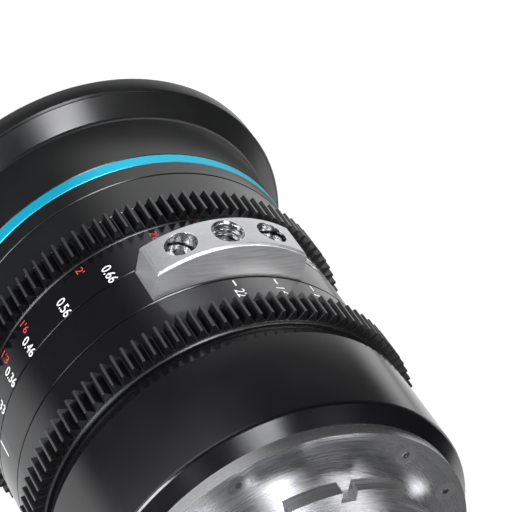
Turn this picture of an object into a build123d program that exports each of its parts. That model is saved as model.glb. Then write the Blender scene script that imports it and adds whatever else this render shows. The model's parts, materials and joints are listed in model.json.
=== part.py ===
from build123d import *
import math
import os

# Cinema prime lens, in millimetres
# The lens axis is Z, the camera mount points up and the front of the lens points down
# The origin is the centre of the mount's flange plane, and the support foot points to -Y

# Camera mount
tube_diameter = 54.0
tube_length = 28.0
tube_wall = 3.0
flange_reach = 3.0
flange_thickness = 3.2
lug_reach = 3.3
lug_count = 4
lug_angle = 44.0
notch_width = 3.2
notch_depth = 2.6
neck_wall = 1.5
neck_length = 6.8
base_width = 10.0
base_thickness = 2.5
shim_thickness = 0.3
shim_bore_gap = 0.5
tube_chamfer = 1.0
neck_fillet = 1.2

# Mount screws, two between each pair of lugs
mount_screw_inset = 3.5
mount_screw_angle = 14.0
mount_screw_diameter = 2.5
mount_screw_head_diameter = 4.7
mount_screw_length = 6.0
mount_socket_width = 1.5
mount_socket_depth = 0.9

# Outer lengths, in order from the mount to the front
rear_barrel_length = 28.4
ring_gap = 0.2
iris_ring_length = 15.2
band_length = 10.5
scale_length = 9.9
gear_ring_length = 7.6
focus_grip_length = 8.6
sleeve_length = 4.1
accent_length = 2.8
bell_length = 13.7
flare_length = 4.0
rim_groove = 0.1
rim_length = 5.0

# Outer steps, from the body that the gear teeth stand on
root_rise = 0.25
rear_land_rise = 0.35
rear_groove_depth = 0.8
grip_rise = 0.25
taper_rise = 1.3
flare_rise = 4.25
rim_rise = 0.55
edge_break = 0.15
rim_break = 0.4
overrun = 1.0

# Gear rings, 0.8 module
gear_module = 0.8
gear_teeth = 107
tooth_end_margin = 0.5
gear_lip_break = 0.3
tooth_depth_share = 2.75
tooth_tip_share = 0.625
tooth_root_share = 2.625
iris_tooth_turn = 2.0
focus_tooth_turn = 0.0

# Running and seating fits, radial
running_clearance = 0.05
seat_clearance = 0.02

# Rear barrel
rear_taper_length = 3.0
rear_cone_length = 3.65
rear_flange_thickness = 4.5
rear_wall = 3.5
rear_shoulder_thickness = 1.5
rear_shoulder_width = 4.0

# Main barrel
ring_wall = 1.55
focus_ring_wall = 2.1
journal_step = 0.5
barrel_wall = 3.0
barrel_tail_length = 8.0
barrel_pilot_length = 2.0
barrel_web_depth = 2.2
barrel_web_thickness = 1.5
barrel_web_width = 4.0

# Support foot
foot_width = 33.4
foot_end_margin = 0.45
foot_height = 8.0
foot_crown_radius = 30.9
foot_chamfer = 0.45
foot_screw_spacing = 20.4
foot_counterbore_diameter = 6.5
foot_screw_seat = 3.3
foot_thread_diameter = 6.35
foot_thread_depth = 7.0
foot_countersink_diameter = 7.3
foot_screw_diameter = 3.0
foot_screw_head_diameter = 5.5
foot_screw_head_height = 2.0
foot_screw_length = 8.0
foot_screw_end_gap = 0.15
foot_socket_width = 2.5
foot_socket_depth = 1.3

# Focus ring and its cam
focus_throw_angle = 250.0
focus_travel = 9.0
follower_count = 3
follower_angle = 30.0
follower_diameter = 3.0
follower_depth = 1.1
groove_floor = 0.2
groove_end_angle = 0.5
follower_root = 2.95
follower_inset = 5.0

# Focus group
carrier_length = 18.0
carrier_front_gap = 4.3
carrier_lip_width = 2.5
carrier_lip_length = 2.0
focus_cell_wall = 4.5
focus_rear_edge = 4.0
focus_rear_dish = 3.0
focus_rear_crown = 1.5
focus_spacer_length = 4.0
focus_spacer_width = 1.5
focus_front_edge = 4.0
focus_front_crown = 3.0
focus_front_back_crown = 1.5
retaining_ring_length = 2.0
retaining_step = 1.0
retaining_width = 1.5
spacer_bevel = 0.3

# Front sleeve, front bell and front ring
sleeve_web_thickness = 2.0
sleeve_web_reach = 0.5
accent_seat_depth = 0.65
spigot_step = 0.5
spigot_wall = 2.0
sleeve_spigot_length = 6.0
front_screw_count = 6
front_screw_diameter = 1.6
front_screw_head_diameter = 3.0
front_screw_head_height = 1.0
front_screw_length = 5.0
front_slot_width = 0.5
front_slot_depth = 0.5
bell_clamp_width = 2.5
bell_clamp_length = 2.0
bell_mouth_wall = 2.0
bell_mouth_length = 2.2
bell_spigot_step = 2.95
bell_spigot_length = 2.1
filter_ring_width = 4.5

# Front group
cell_flange_thickness = 2.0
cell_flange_gap = 0.1
cell_nose_gap = 0.5
cell_rear_gap = 0.2
front_cell_wall = 3.0
front_glass_edge = 5.0
front_glass_crown = 6.6
front_glass_dish = 2.9
second_glass_step = 4.0
second_glass_edge = 6.1
second_glass_crown = 2.0
second_glass_dish = 4.5
front_spacer_length = 1.4
front_spacer_width = 1.3
front_spacer_gap = 0.9
cell_lip_length = 1.0
cell_lip_width = 2.0

# Iris
blade_count = 9
blade_thickness = 0.2
blade_pitch = 0.3
blade_gap = 0.15
pivot_inset = 10.5
blade_inset = 8.3
iris_closed_radius = 1.18
blade_width = 6.8
blade_span_angle = 100.0
blade_lead_angle = 5.0
cam_arm_length = 9.0
cam_arm_angle = 85.0
cam_arm_width = 2.4
blade_pin_diameter = 0.8
stop_count = 7
stop_angle = 13.4
housing_base_thickness = 1.5
housing_wall = 2.0
iris_clear_gap = 0.3
rotor_thickness = 2.0
rotor_gap = 0.2
retainer_thickness = 1.5
retainer_width = 3.0
drive_pin_diameter = 1.5
drive_pin_count = 2
drive_pin_angle = 20.0
drive_pin_rotor_depth = 1.6
drive_pin_ring_depth = 2.4
drive_slot_end_angle = 1.0
slot_points = 9

# Rear group
rear_cell_gap = 1.8
rear_cell_depth = 12.0
rear_cell_nose_step = 1.0
rear_cell_flange_width = 6.0
rear_cell_flange_thickness = 2.0
doublet_cell_wall = 4.0
doublet_front_edge = 5.5
doublet_rear_edge = 8.0
doublet_front_crown = 2.5
doublet_inner_crown = 3.0
doublet_rear_dish = 1.5
doublet_lip_length = 2.0
doublet_lip_width = 1.5
rear_tunnel_step = 0.5
rear_glass_wall = 3.5
rear_glass_edge = 4.0
rear_glass_crown = 2.5
rear_glass_front_dish = 1.0
cement_gap = 0.02
baffle_thickness = 1.5
baffle_side_width = 7.0
baffle_end_width = 12.0
baffle_window_corner = 3.0

# Heights of the outer joints, below the flange plane
neck_front_z = -flange_thickness - neck_length
base_front_z = neck_front_z - base_thickness
shim_front_z = base_front_z - shim_thickness
rear_barrel_front_z = shim_front_z - rear_barrel_length
iris_ring_rear_z = rear_barrel_front_z - ring_gap
iris_gear_front_z = iris_ring_rear_z - gear_ring_length
iris_ring_front_z = iris_ring_rear_z - iris_ring_length
band_rear_z = iris_ring_front_z - ring_gap
band_front_z = band_rear_z - band_length
focus_ring_rear_z = band_front_z - ring_gap
focus_gear_rear_z = focus_ring_rear_z - scale_length
focus_gear_front_z = focus_gear_rear_z - gear_ring_length
focus_ring_front_z = focus_gear_front_z - focus_grip_length
sleeve_rear_z = focus_ring_front_z - ring_gap
sleeve_front_z = sleeve_rear_z - sleeve_length
accent_front_z = sleeve_front_z - accent_length
corner_z = accent_front_z - bell_length
flare_front_z = corner_z - flare_length
rim_rear_z = flare_front_z - rim_groove
front_z = rim_rear_z - rim_length
foot_middle_z = band_rear_z - band_length / 2
foot_length = band_length - 2 * foot_end_margin

# Gear teeth
tip_radius = gear_module * (gear_teeth + 2) / 2
root_radius = tip_radius - tooth_depth_share * gear_module
tooth_tip_width = tooth_tip_share * gear_module
tooth_root_width = tooth_root_share * gear_module
tooth_width = gear_ring_length - 2 * tooth_end_margin

# Outer radii, from the gear teeth inwards and outwards
body_radius = root_radius - root_rise
rear_land_radius = body_radius + rear_land_rise
rear_groove_radius = body_radius - rear_groove_depth
grip_radius = body_radius + grip_rise
corner_radius = grip_radius + taper_rise
flare_radius = corner_radius + flare_rise
rim_radius = flare_radius + rim_rise
bell_spigot_radius = flare_radius - bell_spigot_step
bell_mouth_radius = bell_spigot_radius - bell_mouth_wall
filter_bore_radius = rim_radius - filter_ring_width

# Rings and barrel
ring_seat_radius = body_radius - ring_wall
focus_journal_radius = ring_seat_radius - focus_ring_wall
iris_journal_radius = focus_journal_radius - journal_step
barrel_bore_radius = iris_journal_radius - barrel_wall
iris_bore_radius = iris_journal_radius + running_clearance
focus_bore_radius = focus_journal_radius + running_clearance

# Front sleeve and front cell
accent_seat_radius = body_radius - accent_seat_depth
sleeve_spigot_radius = accent_seat_radius - spigot_step
sleeve_bore_radius = sleeve_spigot_radius - spigot_wall
sleeve_web_radius = barrel_bore_radius - sleeve_web_reach
front_screw_radius = (iris_journal_radius + barrel_bore_radius) / 2
bell_clamp_radius = sleeve_spigot_radius - bell_clamp_width
cell_flange_radius = sleeve_spigot_radius - cell_flange_gap
cell_nose_radius = bell_clamp_radius - cell_nose_gap
front_glass_radius = cell_nose_radius - front_cell_wall
second_glass_radius = front_glass_radius - second_glass_step

# Focus cell and iris
focus_glass_radius = barrel_bore_radius - focus_cell_wall
carrier_lip_radius = focus_glass_radius - carrier_lip_width
housing_bore_radius = barrel_bore_radius - housing_wall
pivot_radius = housing_bore_radius - pivot_inset
iris_open_radius = pivot_radius - blade_inset
iris_clear_radius = iris_open_radius + iris_clear_gap

# Camera mount and rear cell
tube_radius = tube_diameter / 2
bore_radius = tube_radius - tube_wall
flange_radius = tube_radius + flange_reach
lug_radius = flange_radius + lug_reach
neck_radius = tube_radius + neck_wall
base_radius = neck_radius + base_width
mount_screw_radius = base_radius - mount_screw_inset
rear_cell_height = tube_length - rear_cell_depth
rear_cell_nose_radius = bore_radius - rear_cell_nose_step
rear_cell_flange_radius = bore_radius + rear_cell_flange_width
doublet_radius = bore_radius - doublet_cell_wall
doublet_lip_radius = doublet_radius - doublet_lip_width
rear_tunnel_radius = doublet_radius - rear_tunnel_step
rear_glass_radius = bore_radius - rear_glass_wall


def profile(*outline):
    """Closes an outline of (radius, height) points in the half plane of the lens axis."""
    with BuildSketch(Plane.XZ) as section:
        with BuildLine():
            Polyline(*outline, close=True)
        make_face()
    return section.sketch


def glass_profile(radius, front_z, rear_z, front_crown, rear_crown):
    """Half section of a lens element; a crown is convex and a negative one is a dish."""

    def middle(edge_z, crown, sign):
        """Point at half the radius on the surface that bulges by crown."""
        curve = (radius**2 + crown**2) / (2 * abs(crown))
        drop = curve - math.sqrt(curve**2 - (radius / 2) ** 2)
        return radius / 2, edge_z + sign * (crown - math.copysign(drop, crown))

    with BuildSketch(Plane.XZ) as section:
        with BuildLine():
            Line((0, rear_z + rear_crown), (0, front_z - front_crown))
            ThreePointArc((0, front_z - front_crown), middle(front_z, front_crown, -1), (radius, front_z))
            Line((radius, front_z), (radius, rear_z))
            ThreePointArc((radius, rear_z), middle(rear_z, rear_crown, 1), (0, rear_z + rear_crown))
        make_face()
    return section.sketch


def sector(inner_radius, outer_radius, start_angle, span, height):
    """Flat face between two radii over a span of angles, at a height on the lens axis."""
    with BuildSketch(Plane.XY.offset(height)) as face:
        with BuildLine():
            inner = CenterArc((0, 0), inner_radius, start_angle, span)
            outer = CenterArc((0, 0), outer_radius, start_angle, span)
            Line(inner @ 0, outer @ 0)
            Line(inner @ 1, outer @ 1)
        make_face()
    return face.sketch


def taper_radius(height):
    """Outer radius of the slowly widening front part at a height."""
    share = (focus_gear_front_z - height) / (focus_gear_front_z - corner_z)
    return grip_radius + share * (corner_radius - grip_radius)


def wide_circles(piece, least_radius):
    """Turned edges of a piece that lie outside a radius."""
    circles = piece.edges().filter_by(GeomType.CIRCLE)
    return circles.filter_by(lambda edge: edge.radius > least_radius)


def retaining_ring(outer_radius, inner_radius, glass_radius, glass_z, far_z):
    """Half section of a ring that holds a glass edge, bevelled away from the glass."""
    bevel = (glass_radius - inner_radius) / 2
    toward = math.copysign(bevel, far_z - glass_z)
    return profile((glass_radius, glass_z), (outer_radius, glass_z), (outer_radius, far_z),
                   (inner_radius, far_z), (inner_radius, glass_z + toward))


def spacer(outer_radius, width, rear_z, front_z):
    """Half section of a ring between two glass edges, bevelled inside so that it touches only the edges."""
    return profile((outer_radius, rear_z), (outer_radius, front_z),
                   (outer_radius - width, front_z + spacer_bevel),
                   (outer_radius - width, rear_z - spacer_bevel))


def save(piece, name):
    """Labels a finished piece and writes its file."""
    piece.part.label = name
    export_step(piece.part, f"parts/{name}.step")


os.makedirs("parts", exist_ok=True)

# Camera mount: tube, flange with four lugs, neck and base plate
mount_screw_angles = []
for lug in range(lug_count):
    middle_angle = (lug + 1 / 2) * 360 / lug_count
    mount_screw_angles.append(middle_angle - mount_screw_angle)
    mount_screw_angles.append(middle_angle + mount_screw_angle)
mount_screw_places = []
for angle in mount_screw_angles:
    across = mount_screw_radius * math.cos(math.radians(angle))
    along = mount_screw_radius * math.sin(math.radians(angle))
    mount_screw_places.append((across, along, neck_front_z))

with BuildPart() as pl_mount:
    revolve(profile((bore_radius, tube_length), (tube_radius, tube_length), (tube_radius, 0),
                    (flange_radius, 0), (flange_radius, -flange_thickness),
                    (neck_radius, -flange_thickness), (neck_radius, neck_front_z),
                    (base_radius, neck_front_z), (base_radius, base_front_z), (bore_radius, base_front_z)),
            axis=Axis.Z)
    for lug in range(lug_count):
        lug_start = lug * 360 / lug_count - lug_angle / 2
        extrude(sector(neck_radius, lug_radius, lug_start, lug_angle, -flange_thickness),
                amount=flange_thickness)
    with BuildSketch(Plane.XY):
        with Locations((0, -lug_radius)):
            Rectangle(notch_width, 2 * notch_depth)
    extrude(amount=-flange_thickness, mode=Mode.SUBTRACT)
    with Locations(*mount_screw_places):
        CounterSinkHole(mount_screw_diameter / 2 + seat_clearance,
                        mount_screw_head_diameter / 2 + seat_clearance, base_thickness,
                        counter_sink_angle=90)
    tube_edge = pl_mount.edges().filter_by(GeomType.CIRCLE).group_by(Axis.Z)[-1].sort_by(SortBy.RADIUS)[-1]
    chamfer(tube_edge, length=tube_chamfer)
save(pl_mount, "pl_mount")

with BuildPart() as mount_shim:
    revolve(profile((neck_radius + shim_bore_gap, base_front_z), (base_radius, base_front_z),
                    (base_radius, shim_front_z), (neck_radius + shim_bore_gap, shim_front_z)), axis=Axis.Z)
    with Locations(*mount_screw_places):
        Hole(mount_screw_diameter / 2 + seat_clearance)
save(mount_shim, "mount_shim")

mount_head_depth = (mount_screw_head_diameter - mount_screw_diameter) / 2
with BuildPart() as mount_screws:
    screw_section = profile((0, 0), (mount_screw_head_diameter / 2, 0),
                            (mount_screw_diameter / 2, -mount_head_depth),
                            (mount_screw_diameter / 2, -mount_screw_length), (0, -mount_screw_length))
    mount_screw = revolve(screw_section, axis=Axis.Z, mode=Mode.PRIVATE)
    with Locations(*mount_screw_places):
        add(mount_screw)
    for place in mount_screw_places:
        with BuildSketch(Plane(place)):
            RegularPolygon(mount_socket_width / 2, 6, major_radius=False)
        extrude(amount=-mount_socket_depth, mode=Mode.SUBTRACT)
save(mount_screws, "mount_screws")

# Rear barrel: smooth tube with a cone towards the iris ring
rear_flange_z = shim_front_z - rear_flange_thickness
tail_rear_z = rear_barrel_front_z + barrel_tail_length
with BuildPart() as rear_barrel:
    revolve(profile((bore_radius + seat_clearance, shim_front_z), (base_radius, shim_front_z),
                    (rear_land_radius, shim_front_z - rear_taper_length),
                    (rear_land_radius, rear_barrel_front_z + rear_cone_length),
                    (rear_groove_radius, rear_barrel_front_z),
                    (iris_journal_radius + seat_clearance, rear_barrel_front_z),
                    (iris_journal_radius + seat_clearance, tail_rear_z),
                    (iris_journal_radius - rear_shoulder_width, tail_rear_z),
                    (iris_journal_radius - rear_shoulder_width, tail_rear_z + rear_shoulder_thickness),
                    (rear_land_radius - rear_wall, tail_rear_z + rear_shoulder_thickness),
                    (rear_land_radius - rear_wall, rear_flange_z),
                    (bore_radius + seat_clearance, rear_flange_z)), axis=Axis.Z)
    with Locations(*[(place[0], place[1], shim_front_z) for place in mount_screw_places]):
        Hole(mount_screw_diameter / 2 + seat_clearance, mount_screw_length)
    fillet(wide_circles(rear_barrel, rear_land_radius - edge_break).filter_by(
        lambda edge: abs(edge.radius - rear_land_radius) < edge_break and edge.center().Z > rear_flange_z),
           radius=neck_fillet)
save(rear_barrel, "rear_barrel")

# Main barrel: journals of both rings, fixed band and inner web
web_rear_z = band_rear_z - barrel_web_depth
web_front_z = web_rear_z - barrel_web_thickness
pilot_front_z = sleeve_rear_z - barrel_pilot_length
carrier_front_z = pilot_front_z + carrier_front_gap
follower_z = carrier_front_z + follower_inset
housing_rear_z = web_rear_z + housing_base_thickness + blade_gap + blade_count * blade_pitch
rotor_front_z = housing_rear_z + blade_gap
rotor_rear_z = rotor_front_z + rotor_thickness
drive_pin_z = (rotor_front_z + rotor_rear_z) / 2
retainer_front_z = rotor_rear_z + rotor_gap
retainer_rear_z = retainer_front_z + retainer_thickness
iris_throw = stop_count * stop_angle
drive_slot_width = drive_pin_diameter + 2 * running_clearance
foot_screw_x = foot_screw_spacing / 2
foot_underside_y = math.sqrt(body_radius**2 - foot_screw_x**2)
foot_seat_y = foot_underside_y + foot_screw_seat
foot_screw_depth = foot_screw_length - foot_seat_y + body_radius + foot_screw_end_gap


def drive_slots(inner_radius, outer_radius):
    """Faces of the slots in which the iris drive pins swing."""
    pin_half_angle = math.degrees((drive_pin_diameter / 2 + running_clearance) / inner_radius)
    extra_angle = drive_slot_end_angle + pin_half_angle
    slots = []
    for pin in range(drive_pin_count):
        last_angle = drive_pin_angle + pin * 360 / drive_pin_count + extra_angle
        slots.append(sector(inner_radius, outer_radius, last_angle - iris_throw - 2 * extra_angle,
                            iris_throw + 2 * extra_angle, drive_pin_z - drive_slot_width / 2))
    return slots


with BuildPart() as main_barrel:
    revolve(profile((barrel_bore_radius, tail_rear_z), (iris_journal_radius, tail_rear_z),
                    (iris_journal_radius, band_rear_z), (body_radius, band_rear_z),
                    (body_radius, band_front_z), (focus_journal_radius, band_front_z),
                    (focus_journal_radius, sleeve_rear_z), (iris_journal_radius, sleeve_rear_z),
                    (iris_journal_radius, pilot_front_z), (barrel_bore_radius, pilot_front_z),
                    (barrel_bore_radius, web_front_z), (barrel_bore_radius - barrel_web_width, web_front_z),
                    (barrel_bore_radius - barrel_web_width, web_rear_z), (barrel_bore_radius, web_rear_z)),
            axis=Axis.Z)
    for slot in drive_slots(barrel_bore_radius - overrun, iris_journal_radius + overrun):
        extrude(slot, amount=drive_slot_width, mode=Mode.SUBTRACT)
    with Locations((0, 0, follower_z + focus_travel / 2)):
        with PolarLocations((barrel_bore_radius + focus_journal_radius) / 2, follower_count, follower_angle):
            Box(2 * (focus_journal_radius - barrel_bore_radius), follower_diameter + 2 * running_clearance,
                focus_travel + follower_diameter + 2 * running_clearance, mode=Mode.SUBTRACT)
    for side in (-1, 1):
        with Locations(Plane((side * foot_screw_x, -body_radius, foot_middle_z), z_dir=(0, -1, 0))):
            Hole(foot_screw_diameter / 2 + seat_clearance, foot_screw_depth)
    with Locations((0, 0, pilot_front_z)):
        with PolarLocations(front_screw_radius, front_screw_count):
            Cylinder(front_screw_diameter / 2 + seat_clearance, 2 * front_screw_length, mode=Mode.SUBTRACT)
    chamfer(wide_circles(main_barrel, body_radius - edge_break), length=edge_break)
save(main_barrel, "main_barrel")

# Support foot: arched block on the fixed band
foot_crown_y = body_radius + foot_height
foot_crown_centre = foot_crown_y - foot_crown_radius
foot_top_y = foot_crown_centre + math.sqrt(foot_crown_radius**2 - (foot_width / 2) ** 2)
foot_base_radius = body_radius + seat_clearance
foot_base_y = math.sqrt(foot_base_radius**2 - (foot_width / 2) ** 2)
with BuildPart() as lens_foot:
    with BuildSketch(Plane.XY.offset(foot_middle_z - foot_length / 2)):
        with BuildLine():
            Line((-foot_width / 2, -foot_base_y), (-foot_width / 2, -foot_top_y))
            ThreePointArc((-foot_width / 2, -foot_top_y), (0, -foot_crown_y), (foot_width / 2, -foot_top_y))
            Line((foot_width / 2, -foot_top_y), (foot_width / 2, -foot_base_y))
            ThreePointArc((foot_width / 2, -foot_base_y), (0, -foot_base_radius),
                          (-foot_width / 2, -foot_base_y))
        make_face()
    extrude(amount=foot_length)
    foot_edges = lens_foot.edges().filter_by(lambda edge: edge.center().Y < -foot_base_radius)
    chamfer(foot_edges, length=foot_chamfer)
    for side in (-1, 1):
        with Locations(Plane((side * foot_screw_x, -foot_crown_y, foot_middle_z), z_dir=(0, -1, 0))):
            CounterBoreHole(foot_screw_diameter / 2 + seat_clearance, foot_counterbore_diameter / 2,
                            foot_crown_y - foot_seat_y)
    with Locations(Plane((0, -foot_crown_y, foot_middle_z), z_dir=(0, -1, 0))):
        CounterSinkHole(foot_thread_diameter / 2, foot_countersink_diameter / 2, foot_thread_depth,
                        counter_sink_angle=90)
save(lens_foot, "lens_foot")

with BuildPart() as foot_screws:
    for side in (-1, 1):
        with BuildSketch(Plane((side * foot_screw_x, -foot_seat_y, foot_middle_z), z_dir=(0, -1, 0))):
            Circle(foot_screw_head_diameter / 2)
        extrude(amount=foot_screw_head_height)
        with BuildSketch(Plane((side * foot_screw_x, -foot_seat_y, foot_middle_z), z_dir=(0, -1, 0))):
            Circle(foot_screw_diameter / 2)
        extrude(amount=-foot_screw_length)
        head_top_y = foot_seat_y + foot_screw_head_height
        with BuildSketch(Plane((side * foot_screw_x, -head_top_y, foot_middle_z), z_dir=(0, -1, 0))):
            RegularPolygon(foot_socket_width / 2, 6, major_radius=False)
        extrude(amount=-foot_socket_depth, mode=Mode.SUBTRACT)
save(foot_screws, "foot_screws")


# Gear rings: a plain ring with a band of teeth
def tooth_outline(first_angle):
    """Outline of all teeth of a gear ring about the lens axis, from the angle of its first tooth."""
    points = []
    for tooth in range(gear_teeth):
        middle_angle = math.radians(first_angle) + tooth * 2 * math.pi / gear_teeth
        for radius, width in ((root_radius, -tooth_root_width), (tip_radius, -tooth_tip_width),
                              (tip_radius, tooth_tip_width), (root_radius, tooth_root_width)):
            turn = middle_angle + width / 2 / radius
            points.append((radius * math.cos(turn), radius * math.sin(turn)))
    return points


def gear_ring(rear_z, first_angle):
    """Gear ring whose rear face lies at a height and whose first tooth points at an angle."""
    ring_bore_radius = ring_seat_radius + seat_clearance
    teeth_front_z = rear_z - gear_ring_length / 2 - tooth_width / 2
    with BuildPart() as ring:
        with BuildSketch(Plane.XY.offset(teeth_front_z)):
            with BuildLine():
                Polyline(*tooth_outline(first_angle), close=True)
            make_face()
            Circle(ring_bore_radius, mode=Mode.SUBTRACT)
        extrude(amount=tooth_width)
        revolve(profile((ring_bore_radius, rear_z), (body_radius - gear_lip_break, rear_z),
                        (body_radius, rear_z - gear_lip_break), (body_radius, rear_z - gear_ring_length),
                        (ring_bore_radius, rear_z - gear_ring_length)), axis=Axis.Z)
    return ring.part


with BuildPart() as iris_gear:
    add(gear_ring(iris_ring_rear_z, iris_tooth_turn))
save(iris_gear, "iris_gear")

with BuildPart() as focus_gear:
    add(gear_ring(focus_gear_rear_z, focus_tooth_turn))
save(focus_gear, "focus_gear")

# Focus ring: sleeve with three helical cam grooves in its bore
groove_radius = focus_bore_radius + follower_depth + groove_floor
groove_width = follower_diameter + 2 * running_clearance
cam_pitch = focus_travel * 360 / focus_throw_angle
groove_extra_angle = math.degrees(groove_width / 2 / focus_bore_radius) + groove_end_angle
groove_extra_height = cam_pitch * groove_extra_angle / 360
with BuildPart() as focus_ring:
    revolve(profile((focus_bore_radius, focus_ring_rear_z), (ring_seat_radius, focus_ring_rear_z),
                    (ring_seat_radius, focus_gear_front_z), (grip_radius, focus_gear_front_z),
                    (taper_radius(focus_ring_front_z), focus_ring_front_z),
                    (focus_bore_radius, focus_ring_front_z)), axis=Axis.Z)
    chamfer(wide_circles(focus_ring, grip_radius - edge_break), length=edge_break)
    for follower in range(follower_count):
        start_angle = follower_angle + follower * 360 / follower_count + groove_extra_angle
        start_plane = Plane.XY.offset(follower_z - groove_extra_height).rotated((0, 0, start_angle))
        cam_path = start_plane * Helix(cam_pitch, focus_travel + 2 * groove_extra_height, focus_bore_radius,
                                       lefthand=True, mode=Mode.PRIVATE)
        groove_plane = Plane(cam_path @ 0, x_dir=start_plane.x_dir, z_dir=cam_path % 0)
        with BuildSketch(groove_plane, mode=Mode.PRIVATE) as groove:
            Rectangle(2 * (groove_radius - focus_bore_radius), groove_width)
        sweep(groove.sketch, path=cam_path, is_frenet=True, mode=Mode.SUBTRACT)
save(focus_ring, "focus_ring")

with BuildPart() as focus_scale_ring:
    revolve(profile((ring_seat_radius + seat_clearance, focus_ring_rear_z), (body_radius, focus_ring_rear_z),
                    (body_radius, focus_gear_rear_z), (ring_seat_radius + seat_clearance, focus_gear_rear_z)),
            axis=Axis.Z)
    chamfer(wide_circles(focus_scale_ring, body_radius - edge_break), length=edge_break)
save(focus_scale_ring, "focus_scale_ring")

# Focus group: carrier that slides in the main barrel, its followers and its glass
carrier_rear_z = carrier_front_z + carrier_length
carrier_radius = barrel_bore_radius - running_clearance
focus_seat_radius = focus_glass_radius + seat_clearance
focus_rear_glass_z = carrier_rear_z - carrier_lip_length
focus_spacer_rear_z = focus_rear_glass_z - focus_rear_edge
focus_spacer_front_z = focus_spacer_rear_z - focus_spacer_length
focus_front_glass_z = focus_spacer_front_z - focus_front_edge
focus_thread_radius = focus_glass_radius + retaining_step
with BuildPart() as focus_carrier:
    revolve(profile((carrier_lip_radius, carrier_rear_z), (carrier_radius, carrier_rear_z),
                    (carrier_radius, carrier_front_z),
                    (focus_thread_radius + seat_clearance, carrier_front_z),
                    (focus_thread_radius + seat_clearance, focus_front_glass_z),
                    (focus_seat_radius, focus_front_glass_z), (focus_seat_radius, focus_rear_glass_z),
                    (carrier_lip_radius, focus_rear_glass_z)), axis=Axis.Z)
    with Locations((0, 0, follower_z)):
        with PolarLocations(carrier_radius, follower_count, follower_angle):
            Cylinder(follower_diameter / 2 + seat_clearance, 2 * follower_root, rotation=(0, 90, 0),
                     mode=Mode.SUBTRACT)
save(focus_carrier, "focus_carrier")

follower_inner = carrier_radius - follower_root
follower_outer = focus_bore_radius + follower_depth
with BuildPart() as cam_followers:
    with Locations((0, 0, follower_z)):
        with PolarLocations((follower_inner + follower_outer) / 2, follower_count, follower_angle):
            Cylinder(follower_diameter / 2, follower_outer - follower_inner, rotation=(0, 90, 0))
save(cam_followers, "cam_followers")

with BuildPart() as focus_element_rear:
    revolve(glass_profile(focus_glass_radius, focus_spacer_rear_z, focus_rear_glass_z, focus_rear_crown,
                          -focus_rear_dish), axis=Axis.Z)
save(focus_element_rear, "focus_element_rear")

with BuildPart() as focus_spacer:
    revolve(spacer(focus_glass_radius, focus_spacer_width, focus_spacer_rear_z, focus_spacer_front_z),
            axis=Axis.Z)
save(focus_spacer, "focus_spacer")

with BuildPart() as focus_element_front:
    revolve(glass_profile(focus_glass_radius, focus_front_glass_z, focus_spacer_front_z, focus_front_crown,
                          focus_front_back_crown), axis=Axis.Z)
save(focus_element_front, "focus_element_front")

with BuildPart() as focus_retaining_ring:
    revolve(retaining_ring(focus_thread_radius, focus_glass_radius - retaining_width, focus_glass_radius,
                           focus_front_glass_z, focus_front_glass_z - retaining_ring_length), axis=Axis.Z)
save(focus_retaining_ring, "focus_retaining_ring")

# Front sleeve: carries the accent ring, the bell and the front group
sleeve_web_front_z = pilot_front_z - sleeve_web_thickness
spigot_front_z = accent_front_z - sleeve_spigot_length
with BuildPart() as front_sleeve:
    revolve(profile((iris_journal_radius + seat_clearance, sleeve_rear_z),
                    (taper_radius(sleeve_rear_z), sleeve_rear_z),
                    (taper_radius(sleeve_front_z), sleeve_front_z), (accent_seat_radius, sleeve_front_z),
                    (accent_seat_radius, accent_front_z), (sleeve_spigot_radius, accent_front_z),
                    (sleeve_spigot_radius, spigot_front_z), (sleeve_bore_radius, spigot_front_z),
                    (sleeve_bore_radius, sleeve_web_front_z), (sleeve_web_radius, sleeve_web_front_z),
                    (sleeve_web_radius, pilot_front_z),
                    (iris_journal_radius + seat_clearance, pilot_front_z)), axis=Axis.Z)
    chamfer(wide_circles(front_sleeve, body_radius), length=edge_break)
    with Locations((0, 0, sleeve_web_front_z)):
        with PolarLocations(front_screw_radius, front_screw_count):
            Cylinder(front_screw_head_diameter / 2 + seat_clearance, 2 * front_screw_head_height,
                     mode=Mode.SUBTRACT)
            Cylinder(front_screw_diameter / 2 + seat_clearance, 2 * front_screw_length, mode=Mode.SUBTRACT)
save(front_sleeve, "front_sleeve")

with BuildPart() as front_screws:
    with PolarLocations(front_screw_radius, front_screw_count):
        with Locations((0, 0, sleeve_web_front_z + front_screw_head_height / 2)):
            Cylinder(front_screw_head_diameter / 2, front_screw_head_height)
        with Locations((0, 0, sleeve_web_front_z + front_screw_length / 2)):
            Cylinder(front_screw_diameter / 2, front_screw_length)
        with Locations((0, 0, sleeve_web_front_z)):
            Box(front_screw_head_diameter, front_slot_width, 2 * front_slot_depth, mode=Mode.SUBTRACT)
save(front_screws, "front_screws")

with BuildPart() as accent_ring:
    revolve(profile((accent_seat_radius + seat_clearance, sleeve_front_z),
                    (taper_radius(sleeve_front_z), sleeve_front_z),
                    (taper_radius(accent_front_z), accent_front_z),
                    (accent_seat_radius + seat_clearance, accent_front_z)), axis=Axis.Z)
    chamfer(wide_circles(accent_ring, body_radius), length=edge_break)
save(accent_ring, "accent_ring")

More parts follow.
